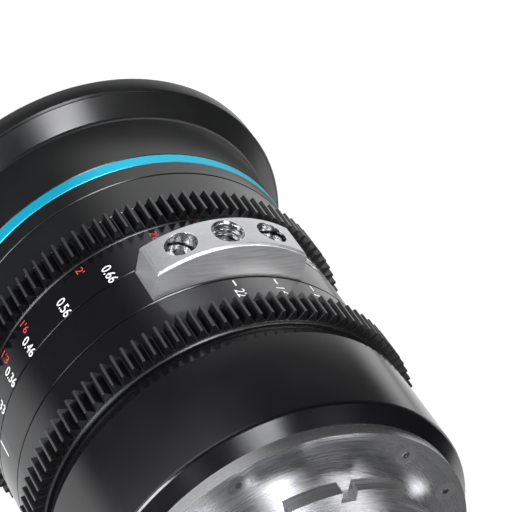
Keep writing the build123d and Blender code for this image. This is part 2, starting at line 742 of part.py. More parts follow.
# Front bell: widens slowly, then flares to the front ring
clamp_rear_z = spigot_front_z - cell_flange_thickness
clamp_front_z = clamp_rear_z - bell_clamp_length
bell_front_z = flare_front_z - bell_spigot_length
mouth_rear_z = flare_front_z + bell_mouth_length
with BuildPart() as front_bell:
    revolve(profile((sleeve_spigot_radius + seat_clearance, accent_front_z),
                    (taper_radius(accent_front_z), accent_front_z), (corner_radius, corner_z),
                    (flare_radius, flare_front_z), (bell_spigot_radius, flare_front_z),
                    (bell_spigot_radius, bell_front_z), (bell_mouth_radius, bell_front_z),
                    (bell_mouth_radius, mouth_rear_z), (bell_clamp_radius, clamp_front_z),
                    (bell_clamp_radius, clamp_rear_z), (sleeve_spigot_radius + seat_clearance, clamp_rear_z)),
            axis=Axis.Z)
    chamfer(wide_circles(front_bell, body_radius).group_by(Axis.Z)[-1], length=edge_break)
    fillet(wide_circles(front_bell, body_radius).filter_by(
        lambda edge: abs(edge.center().Z - corner_z) < edge_break), radius=neck_fillet)
save(front_bell, "front_bell")

with BuildPart() as front_ring:
    revolve(profile((bell_spigot_radius + seat_clearance, rim_rear_z), (rim_radius, rim_rear_z),
                    (rim_radius, front_z), (filter_bore_radius, front_z),
                    (filter_bore_radius, bell_front_z),
                    (bell_spigot_radius + seat_clearance, bell_front_z)), axis=Axis.Z)
    chamfer(wide_circles(front_ring, rim_radius - edge_break), length=rim_break)
save(front_ring, "front_ring")

# Front group: cell, two elements, spacer and retaining ring
cell_rear_z = sleeve_web_front_z - cell_rear_gap
second_rear_z = cell_rear_z - cell_lip_length
second_front_z = second_rear_z - second_glass_edge
front_glass_rear_z = second_front_z - front_spacer_gap
front_glass_front_z = front_glass_rear_z - front_glass_edge
nose_front_z = front_glass_front_z - retaining_ring_length
front_thread_radius = front_glass_radius + retaining_step
with BuildPart() as front_cell:
    revolve(profile((sleeve_bore_radius - running_clearance, cell_rear_z),
                    (sleeve_bore_radius - running_clearance, spigot_front_z),
                    (cell_flange_radius, spigot_front_z), (cell_flange_radius, clamp_rear_z),
                    (cell_nose_radius, clamp_rear_z), (cell_nose_radius, nose_front_z),
                    (front_thread_radius + seat_clearance, nose_front_z),
                    (front_thread_radius + seat_clearance, front_glass_front_z),
                    (front_glass_radius + seat_clearance, front_glass_front_z),
                    (front_glass_radius + seat_clearance, front_glass_rear_z),
                    (second_glass_radius + seat_clearance, front_glass_rear_z),
                    (second_glass_radius + seat_clearance, second_rear_z),
                    (second_glass_radius - cell_lip_width, second_rear_z),
                    (second_glass_radius - cell_lip_width, cell_rear_z)), axis=Axis.Z)
save(front_cell, "front_cell")

with BuildPart() as front_element:
    revolve(glass_profile(front_glass_radius, front_glass_front_z, front_glass_rear_z, front_glass_crown,
                          -front_glass_dish), axis=Axis.Z)
save(front_element, "front_element")

with BuildPart() as second_element:
    revolve(glass_profile(second_glass_radius, second_front_z, second_rear_z, second_glass_crown,
                          -second_glass_dish), axis=Axis.Z)
save(second_element, "second_element")

with BuildPart() as front_spacer:
    revolve(spacer(second_glass_radius, front_spacer_width, second_front_z,
                   second_front_z - front_spacer_length), axis=Axis.Z)
save(front_spacer, "front_spacer")

with BuildPart() as front_retaining_ring:
    revolve(retaining_ring(front_thread_radius, front_glass_radius - retaining_width, front_glass_radius,
                           front_glass_front_z, nose_front_z), axis=Axis.Z)
save(front_retaining_ring, "front_retaining_ring")

# Iris housing: base plate with the blade pivots and a wall round the rotor
blade_pin_radius = blade_pin_diameter / 2
housing_radius = barrel_bore_radius - seat_clearance
housing_floor_z = web_rear_z + housing_base_thickness
with BuildPart() as iris_housing:
    revolve(profile((iris_clear_radius, web_rear_z), (housing_radius, web_rear_z),
                    (housing_radius, retainer_rear_z), (housing_bore_radius, retainer_rear_z),
                    (housing_bore_radius, housing_floor_z), (iris_clear_radius, housing_floor_z)),
            axis=Axis.Z)
    with Locations((0, 0, web_rear_z)):
        with PolarLocations(pivot_radius, blade_count):
            Hole(blade_pin_radius + running_clearance)
    for slot in drive_slots(housing_bore_radius - overrun, barrel_bore_radius + overrun):
        extrude(slot, amount=drive_slot_width, mode=Mode.SUBTRACT)
save(iris_housing, "iris_housing")

with BuildPart() as iris_retainer:
    revolve(profile((housing_bore_radius - retainer_width, retainer_front_z),
                    (housing_bore_radius - seat_clearance, retainer_front_z),
                    (housing_bore_radius - seat_clearance, retainer_rear_z),
                    (housing_bore_radius - retainer_width, retainer_rear_z)), axis=Axis.Z)
save(iris_retainer, "iris_retainer")

# Iris blades: the swing that closes them moves the inner arc to the closed radius
swing_shift = iris_open_radius - iris_closed_radius
blade_swing = 2 * math.degrees(math.asin(swing_shift / 2 / pivot_radius))


def cam_pin_place(share):
    """Place of the first blade's cam pin after a share of the swing."""
    turn = math.radians(-cam_arm_angle + share * blade_swing)
    return pivot_radius + cam_arm_length * math.cos(turn), cam_arm_length * math.sin(turn)


for blade_number in range(blade_count):
    blade_angle = blade_number * 360 / blade_count
    blade_front_z = housing_floor_z + blade_gap + blade_number * blade_pitch
    blade_plane = Plane.XY.offset(blade_front_z).rotated((0, 0, blade_angle))
    with BuildPart() as iris_blade:
        with BuildSketch(blade_plane):
            with BuildLine():
                inner_arc = CenterArc((0, 0), iris_open_radius, -blade_lead_angle, blade_span_angle)
                outer_arc = CenterArc((0, 0), iris_open_radius + blade_width, -blade_lead_angle,
                                      blade_span_angle)
                Line(inner_arc @ 0, outer_arc @ 0)
                Line(inner_arc @ 1, outer_arc @ 1)
            make_face()
            with Locations((pivot_radius - cam_arm_width / 2, 0)):
                Rectangle(2 * cam_arm_width, cam_arm_width)
            with BuildLine():
                arm = Line((pivot_radius, 0), cam_pin_place(0))
            trace(arm, cam_arm_width)
            with Locations((pivot_radius, 0), cam_pin_place(0)):
                Circle(cam_arm_width / 2)
        extrude(amount=blade_thickness)
        with BuildSketch(blade_plane):
            with Locations((pivot_radius, 0)):
                Circle(blade_pin_radius)
        extrude(amount=-(blade_front_z - web_rear_z - running_clearance))
        with BuildSketch(blade_plane):
            with Locations(cam_pin_place(0)):
                Circle(blade_pin_radius)
        extrude(amount=rotor_rear_z - running_clearance - blade_front_z)
    save(iris_blade, f"iris_blade_{blade_number + 1}")

# Iris rotor: spiral slots that swing the blades in step with the iris ring
rotor_radius = housing_bore_radius - running_clearance
spiral_places = []
for step in range(slot_points):
    share = step / (slot_points - 1)
    pin_x, pin_y = cam_pin_place(share)
    pin_angle = math.atan2(pin_y, pin_x) + share * math.radians(iris_throw)
    pin_distance = math.hypot(pin_x, pin_y)
    spiral_places.append((pin_distance * math.cos(pin_angle), pin_distance * math.sin(pin_angle)))
with BuildSketch() as spiral_slot:
    with BuildLine():
        spiral = Spline(*spiral_places)
    trace(spiral, blade_pin_diameter + 2 * running_clearance)
    with Locations(spiral_places[0], spiral_places[-1]):
        Circle(blade_pin_radius + running_clearance)

with BuildPart() as iris_rotor:
    with BuildSketch(Plane.XY.offset(rotor_front_z)):
        Circle(rotor_radius)
        Circle(iris_clear_radius, mode=Mode.SUBTRACT)
        with PolarLocations(0, blade_count):
            add(spiral_slot.sketch, mode=Mode.SUBTRACT)
    extrude(amount=rotor_thickness)
    with Locations((0, 0, drive_pin_z)):
        with PolarLocations(rotor_radius, drive_pin_count, drive_pin_angle):
            Cylinder(drive_pin_diameter / 2 + seat_clearance, 2 * drive_pin_rotor_depth, rotation=(0, 90, 0),
                     mode=Mode.SUBTRACT)
save(iris_rotor, "iris_rotor")

drive_pin_inner = rotor_radius - drive_pin_rotor_depth
drive_pin_outer = iris_bore_radius + drive_pin_ring_depth
with BuildPart() as iris_drive_pins:
    with Locations((0, 0, drive_pin_z)):
        with PolarLocations((drive_pin_inner + drive_pin_outer) / 2, drive_pin_count, drive_pin_angle):
            Cylinder(drive_pin_diameter / 2, drive_pin_outer - drive_pin_inner, rotation=(0, 90, 0))
save(iris_drive_pins, "iris_drive_pins")

# Iris ring: turns on the main barrel and carries its gear and scale
with BuildPart() as iris_ring:
    revolve(profile((iris_bore_radius, iris_ring_rear_z), (ring_seat_radius, iris_ring_rear_z),
                    (ring_seat_radius, iris_gear_front_z), (body_radius, iris_gear_front_z),
                    (body_radius, iris_ring_front_z), (iris_bore_radius, iris_ring_front_z)), axis=Axis.Z)
    chamfer(wide_circles(iris_ring, body_radius - edge_break).group_by(Axis.Z)[0], length=edge_break)
    with Locations((0, 0, drive_pin_z)):
        with PolarLocations(iris_bore_radius, drive_pin_count, drive_pin_angle):
            Cylinder(drive_pin_diameter / 2 + seat_clearance, 2 * drive_pin_ring_depth, rotation=(0, 90, 0),
                     mode=Mode.SUBTRACT)
save(iris_ring, "iris_ring")

# Rear group: cell inside the mount tube, cemented pair, rear element and window baffle
cell_front_z = retainer_rear_z + rear_cell_gap
doublet_front_z = cell_front_z + retaining_ring_length
doublet_joint_z = doublet_front_z + doublet_front_edge
doublet_rear_z = doublet_joint_z + doublet_rear_edge
doublet_thread_radius = doublet_radius + retaining_step
rear_glass_front_z = rear_cell_height - 2 * retaining_ring_length - rear_glass_edge - rear_glass_crown
rear_glass_rear_z = rear_glass_front_z + rear_glass_edge
rear_thread_radius = rear_glass_radius + retaining_step
with BuildPart() as rear_cell:
    revolve(profile((doublet_thread_radius + seat_clearance, cell_front_z),
                    (rear_cell_nose_radius, cell_front_z),
                    (rear_cell_nose_radius, rear_flange_z - rear_cell_flange_thickness),
                    (rear_cell_flange_radius, rear_flange_z - rear_cell_flange_thickness),
                    (rear_cell_flange_radius, rear_flange_z), (bore_radius - seat_clearance, rear_flange_z),
                    (bore_radius - seat_clearance, rear_cell_height),
                    (rear_thread_radius + seat_clearance, rear_cell_height),
                    (rear_thread_radius + seat_clearance, rear_glass_rear_z),
                    (rear_glass_radius + seat_clearance, rear_glass_rear_z),
                    (rear_glass_radius + seat_clearance, rear_glass_front_z),
                    (rear_tunnel_radius, rear_glass_front_z),
                    (rear_tunnel_radius, doublet_rear_z + doublet_lip_length),
                    (doublet_lip_radius, doublet_rear_z + doublet_lip_length),
                    (doublet_lip_radius, doublet_rear_z), (doublet_radius + seat_clearance, doublet_rear_z),
                    (doublet_radius + seat_clearance, doublet_front_z),
                    (doublet_thread_radius + seat_clearance, doublet_front_z)), axis=Axis.Z)
save(rear_cell, "rear_cell")

with BuildPart() as rear_doublet_crown:
    revolve(glass_profile(doublet_radius, doublet_front_z, doublet_joint_z, doublet_front_crown,
                          doublet_inner_crown), axis=Axis.Z)
save(rear_doublet_crown, "rear_doublet_crown")

with BuildPart() as rear_doublet_flint:
    revolve(glass_profile(doublet_radius, doublet_joint_z + cement_gap, doublet_rear_z, -doublet_inner_crown,
                          -doublet_rear_dish), axis=Axis.Z)
save(rear_doublet_flint, "rear_doublet_flint")

with BuildPart() as doublet_retaining_ring:
    revolve(retaining_ring(doublet_thread_radius, doublet_radius - retaining_width, doublet_radius,
                           doublet_front_z, cell_front_z), axis=Axis.Z)
save(doublet_retaining_ring, "doublet_retaining_ring")

with BuildPart() as rear_element:
    revolve(glass_profile(rear_glass_radius, rear_glass_front_z, rear_glass_rear_z, -rear_glass_front_dish,
                          rear_glass_crown), axis=Axis.Z)
save(rear_element, "rear_element")

with BuildPart() as rear_retaining_ring:
    revolve(retaining_ring(rear_thread_radius, rear_glass_radius - retaining_width, rear_glass_radius,
                           rear_glass_rear_z, rear_glass_rear_z + retaining_ring_length), axis=Axis.Z)
save(rear_retaining_ring, "rear_retaining_ring")

with BuildPart() as rear_baffle:
    with BuildSketch(Plane.XY.offset(rear_cell_height)):
        Circle(bore_radius - seat_clearance)
        RectangleRounded(2 * (bore_radius - baffle_side_width), 2 * (bore_radius - baffle_end_width),
                         baffle_window_corner, mode=Mode.SUBTRACT)
    extrude(amount=baffle_thickness)
save(rear_baffle, "rear_baffle")

print("blade swing per degree of the iris ring", blade_swing / iris_throw)
print("focus travel in metres per radian", focus_travel / 1000 / math.radians(focus_throw_angle))
print("focus and iris throws", focus_throw_angle, iris_throw)
print("front, foot and mount heights", front_z, foot_middle_z, tube_length)
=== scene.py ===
"""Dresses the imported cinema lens: finishes, engraved scales, threads and a plain studio."""
import json
import math

import bpy
from mathutils import Matrix, Vector


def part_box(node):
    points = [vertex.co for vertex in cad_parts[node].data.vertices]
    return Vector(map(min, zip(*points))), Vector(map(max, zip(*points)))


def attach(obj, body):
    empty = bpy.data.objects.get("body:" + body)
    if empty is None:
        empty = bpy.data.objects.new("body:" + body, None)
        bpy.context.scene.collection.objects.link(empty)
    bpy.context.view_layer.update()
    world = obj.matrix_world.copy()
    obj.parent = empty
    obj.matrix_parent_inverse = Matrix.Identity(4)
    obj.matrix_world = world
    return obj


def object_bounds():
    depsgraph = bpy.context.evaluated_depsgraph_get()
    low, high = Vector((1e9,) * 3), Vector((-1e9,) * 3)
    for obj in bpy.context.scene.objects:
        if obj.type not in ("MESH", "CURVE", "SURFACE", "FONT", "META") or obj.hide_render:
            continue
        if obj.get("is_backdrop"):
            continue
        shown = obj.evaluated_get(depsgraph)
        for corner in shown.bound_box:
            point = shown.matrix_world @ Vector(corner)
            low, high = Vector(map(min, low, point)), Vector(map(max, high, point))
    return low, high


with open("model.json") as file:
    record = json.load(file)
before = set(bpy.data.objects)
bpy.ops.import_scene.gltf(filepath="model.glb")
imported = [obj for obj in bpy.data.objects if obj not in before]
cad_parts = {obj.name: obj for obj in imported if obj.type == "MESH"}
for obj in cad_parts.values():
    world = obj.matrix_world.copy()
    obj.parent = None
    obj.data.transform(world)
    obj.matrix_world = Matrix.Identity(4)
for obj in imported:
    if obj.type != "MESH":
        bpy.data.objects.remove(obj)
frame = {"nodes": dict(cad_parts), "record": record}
cad_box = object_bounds()

bl_info = {
    "name": "Cinema Prime Lens",
    "version": (1, 0, 0),
    "blender": (4, 5, 0),
    "location": "3D View > Sidebar > Lens",
    "description": "Finishes, engraved scales, threads and a studio for a packed cinema lens",
    "category": "Object",
}

MM = 0.001

# Measures that the CAD gives
SCALE_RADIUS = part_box("focus_scale_ring")[1][0]
SCALE_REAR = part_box("focus_scale_ring")[1][2]
BAND_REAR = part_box("iris_ring")[0][2]
FOOT_LOW, FOOT_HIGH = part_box("lens_foot")
FOOT_MIDDLE_Z = (FOOT_LOW[2] + FOOT_HIGH[2]) / 2
FRONT_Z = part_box("front_ring")[0][2]

# Figures of the scales and the angles from the foot, in degrees, at which they stand at rest
METRES = (("0.3", -93.4), ("0.33", -83.0), ("0.36", -73.1), ("0.46", -61.9), ("0.56", -46.3), ("0.66", -30.2),
          ("0.8", -12.0), ("1", 8.0), ("1.2", 22.0), ("1.5", 40.0), ("2", 58.0), ("3", 86.0), ("5", 112.0),
          ("10", 136.0), ("∞", 156.6))
FEET = (("1'", -93.4), ("1'3", -71.2), ("1'6", -59.9), ("2'", -36.9), ("2'6", -13.1), ("3'", 1.0), ("4'", 24.0),
        ("5'", 41.5), ("7'", 63.0), ("10'", 87.0), ("16'", 111.0), ("32'", 135.0))
STOPS = ("22", "16", "11", "8", "5.6", "4", "2.8", "2")
FIRST_STOP = -0.4
STOP_STEP = 13.4
FOCUS_INDEX = -93.4
IRIS_INDEX = 93.4

# Where figures and lines stand along the lens, from the rear edge of the scale ring or of the fixed band
METRE_GAP = 0.15 * MM
FEET_PLACE = 8.9 * MM
STOP_PLACE = 3.55 * MM
TICK_SPAN = (2.3 * MM, 0.6 * MM)
INDEX_SPAN = (0.4 * MM, 5.4 * MM)

# Radii between which the tips of the gear teeth turn paler, partly from wear and partly as a painted highlight where
# the tips catch the light
TOOTH_TIP_WEAR_AND_HIGHLIGHT = (43.38 * MM, 43.56 * MM)

# Holes of the foot: distance of the screws from the middle, and the radii between which the polish of the screw
# holes and of the tripod thread's hole ends
FOOT_SCREWS = 10.2 * MM
SCREW_HOLE = (3.29 * MM, 3.33 * MM)
THREAD_HOLE = (3.65 * MM, 3.7 * MM)

# Threads: radius of the bore, depth, pitch, turns, and steps of one turn; and where the first turn starts, from
# the outer face of the foot and from the front
TRIPOD_THREAD = (3.175 * MM, 0.55 * MM, 1.27 * MM, 4, 48)
FILTER_THREAD = (43.0 * MM, 0.52 * MM, 1.0 * MM, 2, 144)
TRIPOD_THREAD_PLACE = 6.3 * MM
FILTER_THREAD_PLACE = 0.75 * MM

# A thread's ridge: how deep its root stands in the wall, and half the width of root and crest in pitches
THREAD_ROOT_DEPTH = 0.03 * MM
THREAD_ROOT = 0.44
THREAD_CREST = 0.07

# Black parts with the satin finish; the others that the CAD calls black anodised are polished
SATIN_NODES = ("focus_ring", "front_sleeve", "front_bell", "front_ring")

# Lamps of the studio: name, place, width and height, power in watts, colour
LAMPS = (
    ("key_softbox", (-0.52, -0.38, 0.82), (0.4, 0.4), 10.0, (1.0, 0.995, 0.985)),
    ("front_softbox", (0.06, -0.75, 0.58), (0.30, 0.22), 4.5, (0.97, 0.98, 1.0)),
    ("side_softbox", (0.80, -0.30, 0.25), (0.35, 0.5), 12.0, (0.97, 0.98, 1.0)),
)
LAMP_TARGET = Vector((0, 0, -0.05))

# Room between the front ring and the floor
FLOOR_GAP = 0.2 * MM

# Glow of the floor that the camera and the reflections see, near the lens and far from it, and the distances
# between which it changes
FLOOR_GLOW = (0.33, 0.8)
FLOOR_GLOW_SPAN = (0.4, 1.2)

# Strength of the white surroundings as light on the lens, and as seen
SKY_LIGHT = 0.3
SKY_SEEN = 1.0

# Dark flags, which only the reflections show: name, place, width and height, direction that it faces, and the
# tone of its felt, or None for the net
FLAGS = (
    ("back_flag", (-0.45, 0.75, 0.65), (2.0, 1.3), Vector((0.45, -0.75, -0.7)), 0.25),
    ("front_wall_flag", (0, -1.4, 1.0), (3.4, 2.4), Vector((0, 1, 0)), 0.08),
    ("left_wall_flag", (-1.7, -0.4, 1.0), (2.0, 2.4), Vector((1, 0, 0)), 0.08),
    ("right_wall_flag", (1.7, -0.4, 1.0), (2.0, 2.4), Vector((-1, 0, 0)), 0.08),
    ("floor_net", (0, 0, FRONT_Z - FLOOR_GAP / 2), (3.0, 3.0), Vector((0, 0, 1)), None),
)

# The net: its tone, the directions between which it opens to the right, the radii between which it thickens
# before them and thins out after them, the line at which it ends and how far that moves with the direction
NET_TONE = 0.08
NET_TURN = (math.radians(-92), math.radians(-58))
NET_BEFORE = (0.105, 0.142)
NET_AFTER = (0.14, 0.20)
NET_END = (-0.065, -0.015)
NET_END_SHIFT = -0.05

# Its ring round the lens, a painted contact shadow that only the reflections show: the radii between which it thins
# out, the line at which it ends, and the radii between which it thickens at the lens, which leave the front free
CONTACT_SHADOW_EDGE = (0.056, 0.062)
CONTACT_SHADOW_END = (-0.015, 0.030)
RING_START = (0.047, 0.050)


def foot_angle(angle):
    """Angle about the lens axis, in radians, of a place measured from the foot."""
    return math.radians(-90 - angle)


class LensScaleSettings(bpy.types.PropertyGroup):
    """Sizes of the engraved figures and lines."""

    metre_height: bpy.props.FloatProperty(
        name="Metre figure height", description="Height of the white distance figures", default=2.2 * MM, unit="LENGTH")
    metre_digit: bpy.props.FloatProperty(
        name="Metre digit width", description="Room that one white distance digit takes", default=1.42 * MM,
        unit="LENGTH")
    feet_height: bpy.props.FloatProperty(
        name="Feet figure height", description="Height of the red distance figures", default=1.75 * MM, unit="LENGTH")
    feet_digit: bpy.props.FloatProperty(
        name="Feet digit width", description="Room that one red distance digit takes", default=1.15 * MM,
        unit="LENGTH")
    stop_height: bpy.props.FloatProperty(
        name="Stop figure height", description="Height of the iris figures", default=2.1 * MM, unit="LENGTH")
    stop_digit: bpy.props.FloatProperty(
        name="Stop digit width", description="Room that one iris digit takes", default=1.25 * MM, unit="LENGTH")
    line_width: bpy.props.FloatProperty(
        name="Line width", description="Width of the engraved lines", default=0.36 * MM, unit="LENGTH")
    paint_height: bpy.props.FloatProperty(
        name="Paint height", description="How far the filled figures stand proud", default=0.02 * MM, unit="LENGTH")


class LensFinishSettings(bpy.types.PropertyGroup):
    """Colours of the finishes."""

    gloss_black: bpy.props.FloatVectorProperty(
        name="Glossy black", description="Colour of the polished barrels and scale rings", subtype="COLOR",
        default=(0.002, 0.002, 0.0028), min=0, max=1)
    satin_black: bpy.props.FloatVectorProperty(
        name="Satin black", description="Colour of the focus grip, the bell and the front ring", subtype="COLOR",
        default=(0.0055, 0.0057, 0.006), min=0, max=1)
    gear_black: bpy.props.FloatVectorProperty(
        name="Gear black", description="Colour of the tooth flanks", subtype="COLOR", default=(0.004, 0.004, 0.0045),
        min=0, max=1)
    accent: bpy.props.FloatVectorProperty(
        name="Accent blue", description="Colour of the accent ring", subtype="COLOR", default=(0.006, 0.40, 0.58),
        min=0, max=1)
    foot: bpy.props.FloatVectorProperty(
        name="Foot aluminium", description="Colour of the support foot", subtype="COLOR", default=(0.55, 0.55, 0.56),
        min=0, max=1)
    white: bpy.props.FloatVectorProperty(
        name="White paint", description="Colour of the white figures", subtype="COLOR", default=(0.82, 0.82, 0.81),
        min=0, max=1)
    red: bpy.props.FloatVectorProperty(
        name="Red paint", description="Colour of the red figures", subtype="COLOR", default=(0.52, 0.035, 0.05),
        min=0, max=1)


class LensStageSettings(bpy.types.PropertyGroup):
    """Sizes of the studio."""

    floor_width: bpy.props.FloatProperty(
        name="Floor width", description="Width of the pale floor", default=6.0, unit="LENGTH")
    lens_length: bpy.props.FloatProperty(
        name="Camera lens", description="Focal length of the camera on a 36 mm sensor, in millimetres",
        default=151.17)
    camera_place: bpy.props.FloatVectorProperty(
        name="Camera place", description="Where the camera stands", subtype="TRANSLATION",
        default=(0.184457, -0.291028, SCALE_REAR + 0.313555))
    camera_turn: bpy.props.FloatVectorProperty(
        name="Camera turn", description="How the camera is turned", subtype="EULER",
        default=tuple(math.radians(turn) for turn in (-39.6440, -24.6975, -169.1354)))


def scales():
    """Settings of the scales."""
    return bpy.context.scene.lens_scales


def finishes():
    """Settings of the finishes."""
    return bpy.context.scene.lens_finishes


# Materials
def start_material(name):
    """A new node material and its shader."""
    material = bpy.data.materials.new(name)
    material.use_nodes = True
    return material, material.node_tree.nodes["Principled BSDF"]


def add_node(material, kind, values=(), **settings):
    """Adds a node, sets its options and fills its sockets with numbers or links."""
    node = material.node_tree.nodes.new(kind)
    for name, value in settings.items():
        setattr(node, name, value)
    for socket, value in dict(values).items():
        if isinstance(value, bpy.types.NodeSocket):
            material.node_tree.links.new(value, node.inputs[socket])
        else:
            node.inputs[socket].default_value = value
    return node


def link(material, source, target):
    """Joins two sockets."""
    material.node_tree.links.new(source, target)


def calculate(material, operation, first, second=0.0, third=0.0):
    """Result of one calculation on numbers or sockets."""
    node = add_node(material, "ShaderNodeMath", {0: first, 1: second, 2: third}, operation=operation)
    return node.outputs[0]


def distance(material, first, second):
    """Length of the line whose two parts at right angles are given."""
    square = calculate(material, "MULTIPLY", second, second)
    return calculate(material, "SQRT", calculate(material, "MULTIPLY_ADD", first, first, square))


def place_parts(material):
    """Object coordinates, and their X, Y and Z parts."""
    place = add_node(material, "ShaderNodeTexCoord").outputs["Object"]
    parts = add_node(material, "ShaderNodeSeparateXYZ", {0: place})
    return place, parts.outputs[0], parts.outputs[1], parts.outputs[2]


def turned_place(material):
    """Object coordinates, and coordinates in which marks run round the lens axis."""
    place, x, y, z = place_parts(material)
    turned = add_node(material, "ShaderNodeCombineXYZ", {"X": distance(material, x, y), "Z": z})
    return place, turned.outputs[0]


def noise(material, place, scale, detail=2.0):
    """Value of a noise pattern."""
    node = add_node(material, "ShaderNodeTexNoise", {"Vector": place, "Scale": scale, "Detail": detail})
    return node.outputs[0]


def spread(material, value, low, high, from_low=0.3, from_high=0.7, smooth=False):
    """Maps a value to low and high, from the usual span of a noise pattern unless another is given."""
    node = add_node(material, "ShaderNodeMapRange", {"Value": value, "From Min": from_low, "From Max": from_high,
                                                     "To Min": low, "To Max": high},
                    interpolation_type="SMOOTHSTEP" if smooth else "LINEAR")
    return node.outputs[0]


def colour_mix(material, share, low, high):
    """Colour between two colours."""
    node = add_node(material, "ShaderNodeMix", data_type="RGBA")
    for socket, value in (("Factor_Float", share), ("A_Color", low), ("B_Color", high)):
        target = next(item for item in node.inputs if item.identifier == socket)
        if isinstance(value, bpy.types.NodeSocket):
            link(material, value, target)
        else:
            target.default_value = value if isinstance(value, (int, float)) else (*value[:3], 1.0)
    return next(item for item in node.outputs if item.identifier == "Result_Color")


def soft_edges(material, radius):
    """Normals that round the edges off by a radius."""
    return add_node(material, "ShaderNodeBevel", {"Radius": radius}, samples=6).outputs[0]


def grain(material, shader, heights, strength, depth, normals=None):
    """Bumps the surface by a pattern of heights."""
    bump = add_node(material, "ShaderNodeBump", {"Height": heights, "Strength": strength, "Distance": depth})
    if normals:
        link(material, normals, bump.inputs["Normal"])
    link(material, bump.outputs[0], shader.inputs["Normal"])


def scaled(colour, share):
    """The colour at a share of its strength."""
    return tuple(part * share for part in colour[:3])


def anodised_black(name, colour, roughness, specular, bumps):
    """Black anodised aluminium over a finely blasted, turned surface."""
    material, shader = start_material(name)
    place, turned = turned_place(material)
    smudges = noise(material, place, 90.0, 3.0)
    fine = noise(material, place, 5200.0)
    rings = noise(material, turned, 2600.0)
    tint = colour_mix(material, spread(material, smudges, 0.0, 1.0), scaled(colour, 0.85), scaled(colour, 1.15))
    link(material, tint, shader.inputs["Base Color"])
    link(material, calculate(material, "ADD", spread(material, smudges, roughness - 0.02, roughness + 0.02),
                             spread(material, rings, -0.012, 0.012)), shader.inputs["Roughness"])
    shader.inputs["Specular IOR Level"].default_value = specular
    grain(material, shader, calculate(material, "ADD", fine, calculate(material, "MULTIPLY", rings, 0.4)),
          bumps, 0.01 * MM)
    return material


def gear_black():
    """Satin black gear teeth whose edges catch the light."""
    material, shader = start_material("gear_black")
    place, x, y = place_parts(material)[:3]
    fine = noise(material, place, 3800.0)
    # Paler tooth tips are partly wear and partly a painted highlight of light caught on the tips; the noise makes their
    # edge uneven
    tip_edge_noise = spread(material, noise(material, place, 700.0, 3.0), -0.06 * MM, 0.06 * MM)
    tip_wear_and_highlight = spread(material, calculate(material, "ADD", distance(material, x, y), tip_edge_noise), 0.0, 1.0, *TOOTH_TIP_WEAR_AND_HIGHLIGHT)
    colour = finishes().gear_black
    link(material, colour_mix(material, tip_wear_and_highlight, colour, scaled(colour, 6.0)), shader.inputs["Base Color"])
    link(material, spread(material, fine, 0.25, 0.34), shader.inputs["Roughness"])
    shader.inputs["Specular IOR Level"].default_value = 0.5
    grain(material, shader, fine, 0.15, 0.012 * MM, soft_edges(material, 0.12 * MM))
    return material


def accent_blue():
    """Bright blue anodised ring with fine turning marks."""
    material, shader = start_material("accent_blue")
    place, turned = turned_place(material)
    rings = noise(material, turned, 3500.0)
    clouds = noise(material, place, 60.0)
    colour = finishes().accent
    link(material, colour_mix(material, spread(material, clouds, 0.0, 1.0), colour, scaled(colour, 0.9)),
         shader.inputs["Base Color"])
    link(material, spread(material, rings, 0.3, 0.37), shader.inputs["Roughness"])
    shader.inputs["Metallic"].default_value = 0.5
    grain(material, shader, rings, 0.12, 0.01 * MM)
    return material


def foot_aluminium(name, roughness):
    """Blasted and lightly brushed aluminium with polished screw holes."""
    material, shader = start_material(name)
    place, x, _, z = place_parts(material)
    stretched = add_node(material, "ShaderNodeMapping", {"Vector": place, "Scale": (0.05, 1.0, 0.7)}).outputs[0]
    lines = noise(material, stretched, 2600.0, 4.0)
    fine = noise(material, place, 4500.0)
    clouds = noise(material, place, 160.0, 3.0)
    from_screw = calculate(material, "SUBTRACT", calculate(material, "ABSOLUTE", x), FOOT_SCREWS)
    along = calculate(material, "SUBTRACT", z, FOOT_MIDDLE_Z)
    bore = calculate(material, "MAXIMUM",
                     spread(material, distance(material, from_screw, along), 1.0, 0.0, *SCREW_HOLE),
                     spread(material, distance(material, x, along), 1.0, 0.0, *THREAD_HOLE))
    colour = finishes().foot
    tone = calculate(material, "MULTIPLY_ADD", lines, 0.6, calculate(material, "MULTIPLY", clouds, 0.4))
    link(material, colour_mix(material, spread(material, tone, 0.0, 1.0), scaled(colour, 0.78), colour),
         shader.inputs["Base Color"])
    rough = calculate(material, "ADD", spread(material, lines, roughness - 0.07, roughness + 0.07),
                      spread(material, fine, -0.03, 0.03))
    polish = calculate(material, "SUBTRACT", rough, calculate(material, "MULTIPLY", bore, roughness - 0.22))
    link(material, polish, shader.inputs["Roughness"])
    link(material, calculate(material, "MULTIPLY_ADD", bore, 0.18, 0.82), shader.inputs["Metallic"])
    marks = calculate(material, "ADD", lines, calculate(material, "MULTIPLY", fine, 0.6))
    grain(material, shader, calculate(material, "MULTIPLY", marks, calculate(material, "SUBTRACT", 1.0, bore)),
          0.3, 0.01 * MM, soft_edges(material, 0.2 * MM))
    return material


def turned_steel(name, colour, roughness, marks):
    """Lathe-turned steel, with as many turning marks as the scale says."""
    material, shader = start_material(name)
    place, turned = turned_place(material)
    rings = noise(material, turned, marks)
    clouds = noise(material, place, 120.0, 3.0)
    link(material, colour_mix(material, spread(material, clouds, 0.0, 1.0), scaled(colour, 0.92), colour),
         shader.inputs["Base Color"])
    link(material, spread(material, rings, roughness - 0.04, roughness + 0.05), shader.inputs["Roughness"])
    shader.inputs["Metallic"].default_value = 1.0
    grain(material, shader, rings, 0.2, 0.008 * MM)
    return material


